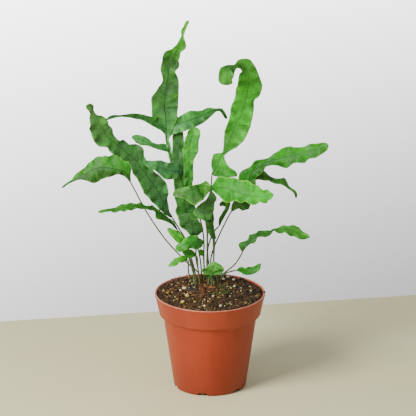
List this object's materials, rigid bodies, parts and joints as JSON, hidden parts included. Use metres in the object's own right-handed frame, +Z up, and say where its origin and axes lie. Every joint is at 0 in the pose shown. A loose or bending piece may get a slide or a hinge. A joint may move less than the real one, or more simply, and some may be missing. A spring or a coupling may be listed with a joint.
{
  "type": "potted fern",
  "caption": "Young strap-leaved fern with tall lobed, wavy and curled fronds on thin stalks, in a tapered terracotta-coloured plastic nursery pot of soil.",
  "frame": {"origin": "middle of the pot's flat base, on the pot's axis", "axes": "+Z up along the pot's axis and the plant's height, +X to the right seen from the plant's front, the front looks along -Y"},
  "size_m": [0.2549, 0.1115, 0.352],
  "materials": {
    "pot_plastic": "satin",
    "soil_mix": "matte",
    "rhizome_scales": "matte",
    "blue_green_leaf": "satin",
    "deep_green_leaf": "satin",
    "fresh_green_leaf": "satin",
    "lime_leaf": "satin"
  },
  "bodies": {
    "root": {"pot": "pot_plastic", "soil": "soil_mix", "rhizome": "rhizome_scales", "frond_tall_three_lobed": "blue_green_leaf", "frond_centre_lobed": "fresh_green_leaf", "frond_arching_left": "blue_green_leaf", "frond_drooping_left": "fresh_green_leaf", "frond_narrow_left": "deep_green_leaf", "frond_curled_tall": "fresh_green_leaf", "frond_bright_front": "lime_leaf", "frond_long_right": "fresh_green_leaf", "frond_narrow_centre_right": "deep_green_leaf", "frond_arching_right": "deep_green_leaf", "frond_low_right": "fresh_green_leaf", "frond_small_front": "fresh_green_leaf", "frond_small_low_left": "lime_leaf", "frond_small_light": "lime_leaf", "frond_small_folded": "lime_leaf", "frond_small_dark": "deep_green_leaf", "frond_dark_centre": "deep_green_leaf", "frond_blue_centre": "blue_green_leaf", "frond_upright_centre": "deep_green_leaf"}
  },
  "joints": []
}
